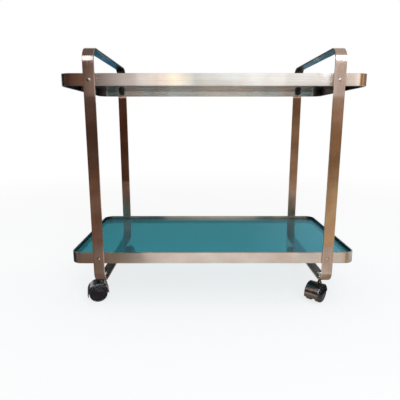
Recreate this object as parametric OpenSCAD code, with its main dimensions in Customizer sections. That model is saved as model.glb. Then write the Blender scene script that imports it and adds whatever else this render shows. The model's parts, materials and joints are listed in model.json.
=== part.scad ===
// Two-tier serving cart: two strap end loops, two banded glass trays, four hooded twin-wheel casters.
// Millimetres. X runs along the trays, Y from front to back, Z up. The origin is on the floor,
// midway between the end loops and midway between front and rear.

/* [Trays] */
// Outside length of each tray band
tray_l = 760; // [700:5:1000]
// Outside depth of each tray band, front to back
tray_w = 408; // [340:2:520]
// Outside radius of the tray corners in plan
tray_corner_r = 28; // [16:1:45]
// Height of the flat bar that forms the band
band_h = 30; // [27:1:50]
// Thickness of the flat bar that forms the band
band_t = 4; // [2:0.5:6]
// How far each tray runs past the middle of an end loop
tray_overhang = 75.5; // [62:0.5:140]
// Height of the lower band's lower edge above the floor
lower_tray_z = 123; // [118:1:200]

/* [Glass] */
// Thickness of each glass panel
glass_t = 4; // [3:0.5:6]
// Depth of the glass top below the rim of its band
glass_drop = 8; // [3:0.5:10]
// Gap between the glass edge and its band
glass_edge_gap = 1; // [0.5:0.25:3]

/* [Glass rests] */
// Width of a rest along the band
rest_w = 15; // [12:0.5:24]
// Height of a rest below the glass
rest_h = 13.5; // [12:0.5:15]
// How far a rest stands in from the band
rest_depth = 12; // [8:0.5:20]

/* [End loops] */
// Height of the handles above the floor
cart_h = 672; // [560:1:800]
// Height of the handles above the rim of the upper tray
handle_rise = 62; // [45:1:160]
// Width of the strap
strap_w = 28; // [22:1:40]
// Thickness of the strap
strap_t = 5; // [3:0.5:8]
// Outside radius of the strap's bends
bend_r = 34; // [16:1:42]

/* [Tray bolts] */
// Diameter of the bolt shank
bolt_d = 4; // [3:0.5:5]
// Diameter of the domed bolt head
bolt_head_d = 9.5; // [7:0.5:16]
// Height of the domed bolt head
bolt_head_h = 2.8; // [1.5:0.1:4]
// Width of the nut across its flats
nut_af = 7; // [6.5:0.5:9]
// Thickness of the nut
nut_h = 3.2; // [2:0.1:5]
// Length of bolt that shows past the nut
bolt_tip = 0.8; // [0.2:0.1:4]

/* [Casters] */
// Height of the strap's underside above the floor
caster_h = 66; // [63:0.5:72]
// Distance from the outer face of a post to the caster stem's axis
stem_inset = 54; // [51:1:110]
// Diameter of the stem
stem_d = 8; // [6:0.5:8.5]
// Distance from the stem's axis to the axle
caster_trail = 19.5; // [17:0.5:21.5]
// Diameter of a wheel over its tread
wheel_d = 50; // [46:1:53]
// Width of a wheel's rim
wheel_w = 13.5; // [12:0.5:18]
// Distance between the inner faces of a caster's two wheels
wheel_gap = 13.6; // [13:0.1:18]
// Diameter of the axle
axle_d = 6; // [4:0.5:7]
// Gap between tread and hood, at the front and back of the wheel
hood_gap = 2.75; // [1.5:0.25:4]
// How far the hood's centre lies below the axle, which narrows the gap over the wheel
hood_drop = 1.25; // [0:0.25:1.25]
// Thickness of the hood
hood_t = 1.5; // [1:0.25:3]
// How far the hood reaches below its centre on its trailing side, in degrees
hood_reach = 17; // [0:1:45]

/* [Caster positions] */
// Direction in which the front left caster trails, in degrees from +X
front_left_turn = 196; // [0:1:359]
// Direction in which the front right caster trails
front_right_turn = 226; // [0:1:359]
// Direction in which the rear left caster trails
rear_left_turn = 300; // [0:1:359]
// Direction in which the rear right caster trails
rear_right_turn = 280; // [0:1:359]

/* [Hidden] */

$fn = 96;

// Finishes
strap_colour = "#b39a8c";
band_colour = "#c4b0a3";
glass_colour = "#40828c";
rest_colour = "#222222";
bolt_colour = "#d8cfc6";
plated_colour = "#a89c94";
wheel_colour = "#1c1b1f";
cap_colour = "#2a2833";

// Clearances, all radial or along an axis
bolt_hole_gap = 0.25;
thread_gap = 0.02;
press_gap = 0.02;
running_gap = 0.08;
end_gap = 0.3;
nut_glass_gap = 0.1;

// Trays
loop_spacing = tray_l - 2 * tray_overhang;
upper_tray_z = cart_h - handle_rise - band_h;
glass_under = band_h - glass_drop - glass_t;
bolt_height = glass_under - nut_af / 2 - nut_glass_gap;
band_inner_y = tray_w / 2 - band_t;
post_face_y = tray_w / 2 + strap_t;
nut_y = band_inner_y - rest_depth;
bolt_end_y = nut_y - nut_h - bolt_tip;
glass_corner_r = tray_corner_r - band_t - glass_edge_gap;

// Casters, heights above the floor
stem_y = post_face_y - stem_inset;
wheel_r = wheel_d / 2;
hood_inner_r = wheel_r + hood_gap;
hood_outer_r = hood_inner_r + hood_t;
hood_z = wheel_r - hood_drop;
boss_wall = 2;
boss_r = stem_d / 2 + boss_wall;
boss_sink = 4.5;
boss_top_z = hood_z + hood_outer_r - boss_sink;
boss_bottom_z = 14;
boss_pocket_gap = 1;
web_t = 6;
web_drop = 6;
spacer_r = axle_d / 2 + 5;
spacer_gap = 0.5;
stem_groove_depth = 0.7;
stem_ring_t = 1;
stem_ring_r = stem_d / 2 + 1.4;
stem_tip = 1.5;
collar_r = stem_d / 2 + 1.75;
collar_t = 2;
flange_r = stem_d / 2 + 2.5;
flange_t = 2.5;
washer_r = stem_d / 2 + 4;
washer_t = 1.2;
cap_nut_af = 12;
cap_nut_hex_h = 4;
cap_nut_h = 10;
stem_in_nut = 5;

// Wheels, measured outward from a wheel's inner face
hub_r = axle_d / 2 + 3.5;
hub_l = 8.5;
wheel_web_in = 3.5;
wheel_web_out = 6;
rim_t = 4;
ledge_w = 2;
ledge_depth = 2;
tread_round = 2;
axle_ring_t = 0.8;
axle_ring_r = axle_d / 2 + 2;
axle_tip = 1;
axle_half = wheel_gap / 2 + hub_l + end_gap + axle_ring_t + axle_tip;

// Wheel caps
cap_edge_gap = 0.1;
cap_t = 1.4;
cap_flat_w = 4;
cap_step = 0.5;
cap_rise = 2.6;
cap_seat = wheel_w - ledge_depth;
cap_seat_r = wheel_r - rim_t;
cap_r = cap_seat_r - cap_edge_gap;
dome_r = cap_r - cap_flat_w;

CASTERS = [
    ["front_left", -1, -1, front_left_turn],
    ["front_right", 1, -1, front_right_turn],
    ["rear_left", -1, 1, rear_left_turn],
    ["rear_right", 1, 1, rear_right_turn]
];

// A rectangle centred on the origin with true arcs at its corners
module rounded_rectangle(l, w, r) {
    square([l - 2 * r, w], center = true);
    square([l, w - 2 * r], center = true);
    for (sx = [-1, 1], sy = [-1, 1])
        translate([sx * (l / 2 - r), sy * (w / 2 - r)]) circle(r);
}

// Repeats a piece at the four posts, where -Y points out of the cart
module at_posts() {
    for (sx = [-1, 1], turn = [0, 180])
        translate([sx * loop_spacing / 2, 0, 0]) rotate(turn) children();
}

// Places a piece of caster i, where +X is the way the caster trails
module at_caster(i) {
    translate([CASTERS[i][1] * loop_spacing / 2, CASTERS[i][2] * stem_y, 0])
        rotate(CASTERS[i][3]) children();
}

// Lays a solid that was drawn along +Z on the axle, its +Z pointing along side * Y
module on_axle(side) {
    translate([caster_trail, 0, wheel_r]) rotate([-90 * side, 0, 0]) children();
}

// A short round hole through a post or band, level with the tray bolts
module bolt_hole(tray_z) {
    translate([0, -post_face_y - 1, tray_z + bolt_height]) rotate([-90, 0, 0])
        cylinder(r = bolt_d / 2 + bolt_hole_gap, h = tray_w / 2);
}

// Closed loop of flat strap: front post, handle, rear post and bottom run
module end_loop(side) {
    loop_h = cart_h - caster_h;
    color(strap_colour)
    difference() {
        translate([side * loop_spacing / 2, 0, caster_h + loop_h / 2])
            rotate([90, 0, 90])
            linear_extrude(strap_w, center = true)
            difference() {
                rounded_rectangle(2 * post_face_y, loop_h, bend_r);
                rounded_rectangle(tray_w, loop_h - 2 * strap_t, bend_r - strap_t);
            }
        at_posts() {
            bolt_hole(upper_tray_z);
            bolt_hole(lower_tray_z);
        }
        for (i = [0:3]) at_caster(i)
            translate([0, 0, caster_h - 1])
            cylinder(r = stem_d / 2 + bolt_hole_gap, h = strap_t + 2);
    }
}

// Flat bar on edge, bent to a rounded rectangle and closed
module tray_band(tray_z) {
    color(band_colour)
    difference() {
        translate([0, 0, tray_z]) linear_extrude(band_h)
            difference() {
                rounded_rectangle(tray_l, tray_w, tray_corner_r);
                rounded_rectangle(tray_l - 2 * band_t, tray_w - 2 * band_t, tray_corner_r - band_t);
            }
        at_posts() bolt_hole(tray_z);
    }
}

// Glass panel that lies on the four rests inside its band
module glass_panel(tray_z) {
    margin = 2 * (band_t + glass_edge_gap);
    color(glass_colour, 0.6)
    translate([0, 0, tray_z + glass_under])
        linear_extrude(glass_t)
        rounded_rectangle(tray_l - margin, tray_w - margin, glass_corner_r);
}

// Moulded blocks on the inner face of the band, rounded below, flat under the glass
module glass_rests(tray_z) {
    straight_h = rest_h - rest_w / 2;
    color(rest_colour)
    at_posts()
    difference() {
        translate([0, -band_inner_y + rest_depth, tray_z + glass_under])
            rotate([90, 0, 0])
            linear_extrude(rest_depth) {
                translate([-rest_w / 2, -straight_h]) square([rest_w, straight_h]);
                translate([0, -straight_h])
                    intersection() {
                        circle(rest_w / 2);
                        translate([-rest_w, -rest_w]) square([2 * rest_w, rest_w]);
                    }
            }
        bolt_hole(tray_z);
    }
}

// Domed bolts through post, band and rest
module tray_bolts(tray_z) {
    dome = (pow(bolt_head_d / 2, 2) + pow(bolt_head_h, 2)) / (2 * bolt_head_h);
    color(bolt_colour)
    at_posts()
    translate([0, 0, tray_z + bolt_height]) rotate([90, 0, 0]) {
        translate([0, 0, bolt_end_y]) cylinder(d = bolt_d, h = post_face_y - bolt_end_y);
        translate([0, 0, post_face_y])
            intersection() {
                cylinder(d = bolt_head_d, h = bolt_head_h);
                translate([0, 0, bolt_head_h - dome]) sphere(dome);
            }
    }
}

// Hexagon nuts at the inner end of each rest, one flat turned up under the glass
module tray_nuts(tray_z) {
    color(bolt_colour)
    at_posts()
    translate([0, -nut_y + nut_h, tray_z + bolt_height]) rotate([90, 0, 0])
        linear_extrude(nut_h)
        difference() {
            circle(r = nut_af / 2 / cos(30), $fn = 6);
            circle(r = bolt_d / 2 + thread_gap);
        }
}

// Plain washers on top of the bottom run
module caster_washers() {
    color(plated_colour)
    for (i = [0:3]) at_caster(i)
        translate([0, 0, caster_h + strap_t])
        linear_extrude(washer_t)
        difference() {
            circle(washer_r);
            circle(stem_d / 2 + bolt_hole_gap);
        }
}

// Domed cap nuts that hold the stems to the loops
module caster_cap_nuts() {
    nut_z = caster_h + strap_t + washer_t;
    dome = cap_nut_af / 2;
    color(bolt_colour)
    for (i = [0:3]) at_caster(i)
    difference() {
        translate([0, 0, nut_z]) {
            cylinder(r = cap_nut_af / 2 / cos(30), h = cap_nut_hex_h, $fn = 6);
            intersection() {
                translate([0, 0, cap_nut_h - dome]) sphere(dome);
                cylinder(r = dome, h = cap_nut_h);
            }
            cylinder(r = dome, h = cap_nut_h - dome);
        }
        translate([0, 0, nut_z - 1]) cylinder(r = stem_d / 2 + thread_gap, h = 1 + stem_in_nut + end_gap);
    }
}

// Spring rings in the groove at the foot of each stem
module caster_stem_rings() {
    color(plated_colour)
    for (i = [0:3]) at_caster(i)
        translate([0, 0, boss_bottom_z - end_gap - stem_ring_t])
        linear_extrude(stem_ring_t)
        difference() {
            circle(stem_ring_r);
            circle(stem_d / 2 - stem_groove_depth + press_gap);
        }
}

// Stem with a flange under the strap, a collar over the caster body and a ring groove
module caster_stem(i) {
    foot_z = boss_bottom_z - end_gap - stem_ring_t - stem_tip;
    top_z = caster_h + strap_t + washer_t + stem_in_nut;
    color(plated_colour)
    at_caster(i)
    difference() {
        union() {
            translate([0, 0, foot_z]) cylinder(d = stem_d, h = top_z - foot_z);
            translate([0, 0, boss_top_z + end_gap]) cylinder(r = collar_r, h = collar_t);
            translate([0, 0, caster_h - flange_t]) cylinder(r = flange_r, h = flange_t);
        }
        translate([0, 0, boss_bottom_z - end_gap - stem_ring_t])
            difference() {
                cylinder(d = stem_d + 1, h = stem_ring_t);
                translate([0, 0, -1]) cylinder(r = stem_d / 2 - stem_groove_depth, h = stem_ring_t + 2);
            }
    }
}

// The part of the hood's ring that is left open, as seen along the axle
module hood_opening() {
    far = 3 * hood_outer_r;
    polygon([
        [0, 0], [-far, 0], [-far, -far], [far * cos(hood_reach), -far],
        [far * cos(hood_reach), -far * sin(hood_reach)]
    ]);
}

// Cast body: cylindrical hood over both wheels, web between them, axle spacer and stem boss
module caster_body(i) {
    spacer_l = wheel_gap - 2 * spacer_gap;
    hood_w = wheel_gap + 2 * wheel_w;
    color(plated_colour)
    at_caster(i)
    difference() {
        union() {
            translate([caster_trail, 0, hood_z]) rotate([90, 0, 0]) {
                linear_extrude(hood_w, center = true)
                    difference() {
                        circle(hood_outer_r);
                        circle(hood_inner_r);
                        hood_opening();
                    }
                linear_extrude(web_t, center = true)
                    intersection() {
                        circle(hood_inner_r + hood_t / 2);
                        translate([-hood_outer_r, -web_drop])
                            square([2 * hood_outer_r, hood_outer_r + web_drop]);
                    }
            }
            translate([caster_trail, 0, wheel_r]) rotate([90, 0, 0])
                cylinder(r = spacer_r, h = spacer_l, center = true);
            translate([0, 0, boss_bottom_z]) cylinder(r = boss_r, h = boss_top_z - boss_bottom_z);
        }
        translate([0, 0, boss_top_z]) cylinder(r = boss_r + boss_pocket_gap, h = hood_outer_r);
        translate([0, 0, boss_bottom_z - 1])
            cylinder(r = stem_d / 2 + running_gap, h = boss_top_z - boss_bottom_z + 2);
        translate([caster_trail, 0, wheel_r]) rotate([90, 0, 0])
            cylinder(r = axle_d / 2 + press_gap, h = hood_w, center = true);
    }
}

// Plain steel pin through the web and both wheels
module caster_axle(i) {
    color(plated_colour)
    at_caster(i) on_axle(1) cylinder(d = axle_d, h = 2 * axle_half, center = true);
}

// Push-on rings outside the two hubs
module caster_axle_rings(i) {
    color(plated_colour)
    at_caster(i)
    for (side = [-1, 1]) on_axle(side)
        translate([0, 0, wheel_gap / 2 + hub_l + end_gap])
        linear_extrude(axle_ring_t)
        difference() {
            circle(axle_ring_r);
            circle(axle_d / 2 + press_gap);
        }
}

// Points of a quarter round of radius r about (cx, cy), from angle a to a + 90
function quarter(cx, cy, r, a) = [for (k = [0:6]) [cx + r * cos(a + 15 * k), cy + r * sin(a + 15 * k)]];

// Wheel turned about its axis: hub, web, rim with a rounded tread, and the ledge for its cap
module caster_wheel(i, side) {
    bore_r = axle_d / 2 + running_gap;
    color(wheel_colour)
    at_caster(i) on_axle(side)
    translate([0, 0, wheel_gap / 2])
    rotate_extrude()
    polygon(concat(
        [
            [bore_r, 0], [hub_r, 0], [hub_r, wheel_web_in],
            [cap_seat_r, wheel_web_in], [cap_seat_r, 0]
        ],
        quarter(wheel_r - tread_round, tread_round, tread_round, -90),
        quarter(wheel_r - tread_round, wheel_w - tread_round, tread_round, 0),
        [
            [cap_seat_r, wheel_w], [cap_seat_r, cap_seat], [cap_seat_r - ledge_w, cap_seat],
            [cap_seat_r - ledge_w, wheel_web_out], [hub_r, wheel_web_out], [hub_r, hub_l], [bore_r, hub_l]
        ]
    ));
}

// Height of the dome over its edge at radius r
function dome_at(r) = let (ball = (pow(dome_r, 2) + pow(cap_rise, 2)) / (2 * cap_rise))
    sqrt(pow(ball, 2) - pow(r, 2)) - (ball - cap_rise);

// Domed disc pressed into the outer face of a wheel
module wheel_cap(i, side) {
    steps = 10;
    base = wheel_gap / 2 + cap_seat;
    outer = [for (k = [0:steps]) let (r = dome_r * (1 - k / steps)) [r, cap_t + cap_step + dome_at(r)]];
    inner = [for (k = [steps:-1:1]) let (r = dome_r * (1 - k / steps)) [r, cap_step + dome_at(r)]];
    color(cap_colour)
    at_caster(i) on_axle(side)
    translate([0, 0, base])
    rotate_extrude()
    polygon(concat(
        [[cap_r, 0], [cap_r, cap_t], [dome_r, cap_t]], outer, inner, [[dome_r - cap_t, cap_step], [dome_r - cap_t, 0]]
    ));
}

end_loop(-1);  // left_end_loop
end_loop(1);  // right_end_loop
tray_band(upper_tray_z);  // upper_tray_band
tray_band(lower_tray_z);  // lower_tray_band
glass_panel(upper_tray_z);  // upper_glass
glass_panel(lower_tray_z);  // lower_glass
glass_rests(upper_tray_z);  // upper_glass_rests
glass_rests(lower_tray_z);  // lower_glass_rests
tray_bolts(upper_tray_z);  // upper_tray_bolts
tray_bolts(lower_tray_z);  // lower_tray_bolts
tray_nuts(upper_tray_z);  // upper_tray_nuts
tray_nuts(lower_tray_z);  // lower_tray_nuts
caster_washers();
caster_cap_nuts();
caster_stem_rings();
for (i = [0:3]) {
    name = CASTERS[i][0];
    caster_stem(i);
    caster_body(i);
    caster_axle(i);
    caster_axle_rings(i);
    caster_wheel(i, 1);
    caster_wheel(i, -1);
    wheel_cap(i, 1);
    wheel_cap(i, -1);
}
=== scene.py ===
import json
import math

import bmesh
import bpy
import numpy as np
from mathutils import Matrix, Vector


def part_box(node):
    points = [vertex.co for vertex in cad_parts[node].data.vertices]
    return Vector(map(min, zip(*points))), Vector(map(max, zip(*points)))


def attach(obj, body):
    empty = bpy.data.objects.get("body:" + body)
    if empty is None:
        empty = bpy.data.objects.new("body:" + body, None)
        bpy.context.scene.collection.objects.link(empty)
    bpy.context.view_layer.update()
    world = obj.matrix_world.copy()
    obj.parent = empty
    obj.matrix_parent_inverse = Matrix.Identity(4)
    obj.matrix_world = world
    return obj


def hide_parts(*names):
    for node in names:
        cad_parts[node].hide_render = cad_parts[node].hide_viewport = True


# Looks of a two-tier serving cart: line-brushed flat-bar frame, tinted glass trays, hooded twin-wheel
# casters. Metres, with the origin on the floor under the middle of the cart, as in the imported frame.
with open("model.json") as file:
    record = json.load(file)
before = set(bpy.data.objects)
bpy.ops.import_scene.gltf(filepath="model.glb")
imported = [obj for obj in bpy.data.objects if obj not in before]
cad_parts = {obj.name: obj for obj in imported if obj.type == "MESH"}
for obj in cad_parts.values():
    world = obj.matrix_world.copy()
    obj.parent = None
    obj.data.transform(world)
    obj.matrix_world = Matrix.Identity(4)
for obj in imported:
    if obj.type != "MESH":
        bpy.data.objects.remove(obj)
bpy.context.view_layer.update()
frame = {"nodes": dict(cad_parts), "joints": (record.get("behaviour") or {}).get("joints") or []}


# End loops
# Each end is one length of 28 x 5 mm flat steel bar, bent cold to a closed loop and butt-welded under
# the cart, plated a warm champagne bronze, then brushed along the bar and lacquered.
LOOP_BAR = 0.005
LOOP_BEND_R = 0.034
LOOP_EDGE_R = 0.0011
LOOP_WELD_H = 0.0003
WELD_SPREAD = 0.0015
LINE_L, LINE_W = 0.07, 0.0005
STREAK_L, STREAK_W = 0.5, 0.0032
SCUFF_L, SCUFF_W = 0.03, 0.0022
CLOUD_SIZE = 0.11


def linear(colour):
    """sRGB hex to linear RGBA: c / 12.92 up to 0.04045, above it ((c + 0.055) / 1.055) to the 2.4."""
    srgb = np.array([int(colour[i:i + 2], 16) for i in (1, 3, 5)]) / 255
    rgb = np.where(srgb <= 0.04045, srgb / 12.92, ((srgb + 0.055) / 1.055) ** 2.4)
    return (*rgb.tolist(), 1.0)


def add_node(tree, kind, settings=None, links=None):
    """Adds one node. Settings are its own properties or its sockets' values, and links are the sockets of
    other nodes that feed it."""
    node = tree.nodes.new(kind)
    for key, value in (settings or {}).items():
        if isinstance(key, str) and hasattr(node, key):
            setattr(node, key, value)
        else:
            node.inputs[key].default_value = value
    for key, source in (links or {}).items():
        tree.links.new(source, node.inputs[key])
    return node


def new_material(name):
    """An empty material and its node tree."""
    material = bpy.data.materials.new(name)
    material.use_nodes = True
    material.node_tree.nodes.clear()
    return material, material.node_tree


def shown(name, data):
    """An object at the origin that puts a mesh, a lamp or a lens into the scene."""
    thing = bpy.data.objects.new(name, data)
    bpy.context.scene.collection.objects.link(thing)
    return thing


def bar_section(width, thickness, edge_r, steps=4):
    """Outline of flat bar: four quarter rounds of radius edge_r about the corners (+-a, +-b), a point at
    angle t being (a + r cos t, b + r sin t). Gives the points as across and depth from the outer face,
    their normals, their run length round the bar, and wear, the sine of twice the angle, 1 in the middle
    of an edge."""
    corner = np.array([[1, 1], [-1, 1], [-1, -1], [1, -1]]) * [width / 2 - edge_r, thickness / 2 - edge_r]
    turn = np.linspace(0, np.pi / 2, steps + 1)
    angle = turn[None, :] + np.arange(4)[:, None] * np.pi / 2
    normal = np.stack([np.cos(angle), np.sin(angle)], -1)
    point = (corner[:, None, :] + edge_r * normal).reshape(-1, 2)
    step = np.linalg.norm(np.roll(point, -1, 0) - point, axis=1)
    wear = np.tile(np.sin(2 * turn), 4)
    return point + [0, thickness / 2], normal.reshape(-1, 2), np.append(0, np.cumsum(step)), wear


def rounded_path(half, r, start, arc_steps=16, side_steps=7):
    """A rectangle with half sizes half, its corners arcs of radius r: corner + r (cos t, sin t). It
    starts in the middle of the side whose normal lies at start degrees. Points on a side lie at t cubed
    from its middle, so they crowd round the weld there. Gives points, outward normals and run lengths."""
    quarter = np.radians(start + 90 * np.arange(4))
    middle = quarter + np.pi / 4
    corner = np.sign(np.stack([np.cos(middle), np.sin(middle)], -1)) * (np.array(half) - r)
    angle = quarter[:, None] + np.linspace(0, np.pi / 2, arc_steps + 1)[None, :]
    arc_normal = np.stack([np.cos(angle), np.sin(angle)], -1)
    arc = corner[:, None, :] + r * arc_normal
    t = np.linspace(-1, 1, 2 * side_steps + 1)[1:-1]
    share = (1 + t ** 3)[None, :, None] / 2
    side = np.roll(arc[:, -1], 1, 0)[:, None, :] * (1 - share) + arc[:, 0][:, None, :] * share
    side_normal = np.repeat(arc_normal[:, :1], len(t), 1)
    point = np.roll(np.concatenate([side, arc], 1).reshape(-1, 2), -(side_steps - 1), 0)
    normal = np.roll(np.concatenate([side_normal, arc_normal], 1).reshape(-1, 2), -(side_steps - 1), 0)
    step = np.linalg.norm(np.roll(point, -1, 0) - point, axis=1)
    return point, normal, np.append(0, np.cumsum(step))


def closed_bar(name, half, r, start, section, place, weld_height, shaded_ends):
    """The bar's section carried round a closed path: path point - normal * depth, with across along the
    third axis. The dressed weld is a low swell of the inner face, height * exp(-(run / spread) squared).
    The map 'run' holds metres along the bar and round it, and the attribute 'wear' is 1 on its rubbed
    edges. A third attribute masks painted shade: it is the sine of twice the bend angle on the inner face,
    so 1 in the middle of each inner bend. With the ends flag at 1 it is 1 on the whole inner face of the
    two ends too, by the square of the normal there, so painted shade darkens the inside of the ends as
    well."""
    (across, depth), (n_across, n_depth), around, wear = section[0].T, section[1].T, section[2], section[3]
    path, out, run = rounded_path(half, r, start)
    rings, count = len(path), len(across)
    from_weld = np.minimum(run[:-1], run[-1] - run[:-1])
    swell = weld_height * np.exp(-(from_weld / WELD_SPREAD) ** 2)[:, None] * np.clip(n_depth, 0, 1)[None, :]
    inward = depth[None, :] + swell
    plane = path[:, None, :] - out[:, None, :] * inward[..., None]
    plane_normal = -out[:, None, :] * n_depth[None, :, None]
    points = place(plane, np.broadcast_to(across, (rings, count)))
    normals = place(plane_normal, np.broadcast_to(n_across, (rings, count)), direction=True)
    i, j = np.meshgrid(np.arange(rings), np.arange(count), indexing="ij")
    around_quad = ((0, 0), (1, 0), (1, 1), (0, 1))
    corners = np.stack([np.stack([i + di, j + dj], -1) for di, dj in around_quad], 2).reshape(-1, 4, 2)
    faces = (corners[..., 0] % rings) * count + corners[..., 1] % count
    p, n = points.reshape(-1, 3), normals.reshape(-1, 3)
    first = np.cross(p[faces[0, 1]] - p[faces[0, 0]], p[faces[0, 3]] - p[faces[0, 0]])
    if np.dot(first, n[faces[0, 0]]) < 0:
        faces, corners = faces[:, ::-1], corners[:, ::-1]
    mesh = bpy.data.meshes.new(name)
    mesh.from_pydata(p.tolist(), [], faces.tolist())
    uv = np.stack([run[corners[..., 0]], around[corners[..., 1]]], -1)
    mesh.uv_layers.new(name="run").data.foreach_set("uv", uv.astype(np.float32).ravel())
    # Mask for painted shade: 1 inside each bend and, with the ends flag, on the inner faces of the two
    # ends.
    inner_bend_shade = np.maximum(np.abs(2 * out[:, 0] * out[:, 1]), shaded_ends * out[:, 0] ** 2)
    inner_bend_shade = inner_bend_shade[:, None] * np.clip(n_depth, 0, 1)[None, :]
    for attribute, value in (("wear", np.tile(wear, rings)), ("inner_bend_shade", inner_bend_shade.ravel())):
        mesh.attributes.new(attribute, "FLOAT", "POINT").data.foreach_set("value", value.astype(np.float32))
    mesh.shade_smooth()
    mesh.normals_split_custom_set_from_vertices(n.tolist())
    return shown(name, mesh)


def brushed_bronze(name, pale, toned, toning_and_shade, seed):
    """Champagne-bronze plated steel, line-brushed along the bar under thin lacquer. What the eye gets:
    highlights drawn out across the brush lines, faint streaks along the bar, clouds of a rosier brown where
    the plating has toned, inner bends darkened by painted shade, rubbed edges and a few crosswise scuffs.
    Brush lines are 0.3 mm apart on the real bar and are drawn 0.5 mm apart, with wider streaks, so that
    they still show from a step away."""
    material, tree = new_material(name)
    run = add_node(tree, "ShaderNodeUVMap", {"uv_map": "run"}).outputs["UV"]
    place = add_node(tree, "ShaderNodeTexCoord").outputs["Object"]
    lines = add_node(tree, "ShaderNodeTexNoise", {"Scale": 1.0, "Detail": 2.0}, {
        "Vector": add_node(tree, "ShaderNodeMapping", {
            "Location": (seed, 0, 0), "Scale": (1 / LINE_L, 1 / LINE_W, 1)
        }, {"Vector": run}).outputs[0]
    }).outputs["Fac"]
    streaks = add_node(tree, "ShaderNodeTexNoise", {"Scale": 1.0, "Detail": 1.0}, {
        "Vector": add_node(tree, "ShaderNodeMapping", {
            "Location": (seed, 7, 0), "Scale": (1 / STREAK_L, 1 / STREAK_W, 1)
        }, {"Vector": run}).outputs[0]
    }).outputs["Fac"]
    own_place = add_node(tree, "ShaderNodeMapping", {
        "Location": (seed, 0, 0)
    }, {"Vector": place}).outputs[0]
    clouds = add_node(tree, "ShaderNodeTexNoise", {
        "Scale": 1 / CLOUD_SIZE, "Detail": 3.0, "Roughness": 0.55
    }, {"Vector": own_place}).outputs["Fac"]
    scuffs = add_node(tree, "ShaderNodeTexNoise", {"Scale": 1.0, "Detail": 2.0}, {
        "Vector": add_node(tree, "ShaderNodeMapping", {
            "Location": (seed, 3, 0), "Scale": (1 / SCUFF_W, 1 / SCUFF_L, 1)
        }, {"Vector": run}).outputs[0]
    }).outputs["Fac"]
    worn = add_node(tree, "ShaderNodeAttribute", {"attribute_name": "wear"}).outputs["Fac"]
    # A higher toned share spreads the rosier brown; above the bands' value it is painted shade.
    toned_share = add_node(tree, "ShaderNodeMapRange", {
        "From Min": 0.35, "From Max": 0.65,
        "To Min": max(0.0, toning_and_shade - 0.35), "To Max": min(1.0, toning_and_shade + 0.35)
    }, {"Value": clouds}).outputs[0]
    metal = add_node(tree, "ShaderNodeMix", {"data_type": "RGBA", 6: linear(pale), 7: linear(toned)},
                     {0: toned_share}).outputs[2]
    streak_share = add_node(tree, "ShaderNodeMapRange", {
        "From Min": 0.3, "From Max": 0.7, "To Min": 0.0, "To Max": 0.12
    }, {"Value": streaks}).outputs[0]
    streaked = add_node(tree, "ShaderNodeMix", {"data_type": "RGBA", 7: linear("#6e5348")},
                        {0: streak_share, 6: metal}).outputs[2]
    scuff_share = add_node(tree, "ShaderNodeMapRange", {
        "From Min": 0.70, "From Max": 0.78, "To Min": 0.0, "To Max": 0.35
    }, {"Value": scuffs}).outputs[0]
    scuffed = add_node(tree, "ShaderNodeMix", {"data_type": "RGBA", 7: linear("#efe2d6")},
                       {0: scuff_share, 6: streaked}).outputs[2]
    wear_share = add_node(tree, "ShaderNodeMath", {"operation": "MULTIPLY", 1: 0.25}, {0: worn}).outputs[0]
    rubbed = add_node(tree, "ShaderNodeMix", {"data_type": "RGBA", 7: linear("#e9d6c6")},
                      {0: wear_share, 6: scuffed}).outputs[2]
    # Painted shade: the inside of the bends, and of the tray ends, is mixed towards near black.
    inner_bend_shade = add_node(tree, "ShaderNodeAttribute", {"attribute_name": "inner_bend_shade"}).outputs["Fac"]
    inner_bend_shade_share = add_node(tree, "ShaderNodeMapRange", {
        "From Min": 0.1, "From Max": 0.6, "To Min": 0.0, "To Max": 0.92
    }, {"Value": inner_bend_shade}).outputs[0]
    finish = add_node(tree, "ShaderNodeMix", {"data_type": "RGBA", 7: linear("#1f1917")},
                      {0: inner_bend_shade_share, 6: rubbed}).outputs[2]
    rough = add_node(tree, "ShaderNodeMapRange", {
        "From Min": 0.3, "From Max": 0.7, "To Min": 0.25, "To Max": 0.33
    }, {"Value": lines}).outputs[0]
    bump = add_node(tree, "ShaderNodeBump", {
        "Strength": 0.05, "Distance": LINE_W / 25
    }, {"Height": lines}).outputs[0]
    across = add_node(tree, "ShaderNodeTangent", {"direction_type": "UV_MAP", "uv_map": "run"}).outputs[0]
    shader = add_node(tree, "ShaderNodeBsdfPrincipled", {
        "Metallic": 1.0, "Anisotropic": 0.97, "Anisotropic Rotation": 0.25
    }, {"Base Color": finish, "Roughness": rough, "Normal": bump, "Tangent": across})
    add_node(tree, "ShaderNodeOutputMaterial", links={"Surface": shader.outputs[0]})
    return material


# The left loop takes more of the rosier brown than the right. This is partly the plating's own toning and
# partly painted shade, standing for the darker reflections the left loop shows.
for side, toning_and_shade, seed in (("left", 0.5, 3.0), ("right", 0.3, 11.0)):
    low, high = (np.array(corner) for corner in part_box(side + "_end_loop"))
    centre = (low + high) / 2
    half_loop = (high - low)[1:] / 2

    def loop_place(plane, across, direction=False, centre=centre):
        """Path coordinates are (y, z) from the loop's middle, and across lies along x."""
        shift = np.zeros(3) if direction else centre
        return np.stack([across, plane[..., 0], plane[..., 1]], -1) + shift

    loop = closed_bar(
        side + "_strap_loop", half_loop, LOOP_BEND_R, -90,
        bar_section(high[0] - low[0], LOOP_BAR, LOOP_EDGE_R), loop_place, LOOP_WELD_H, 0
    )
    bronze = brushed_bronze("brushed_bronze_" + side + "_loop", "#d6c3b6", "#a08372", toning_and_shade, seed)
    loop.data.materials.append(bronze)
    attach(loop, "frame")
    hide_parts(side + "_end_loop")


# Tray bands
# Each tray is ringed by 30 x 4 mm flat bar on edge, bent at four corners and welded at the middle of
# the rear, where a dressed bead still shows inside. The finish is the loops' own, a little paler.
BAND_BAR = 0.004
BAND_CORNER_R = 0.028
BAND_EDGE_R = 0.0009
BAND_WELD_H = 0.0004

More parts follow.
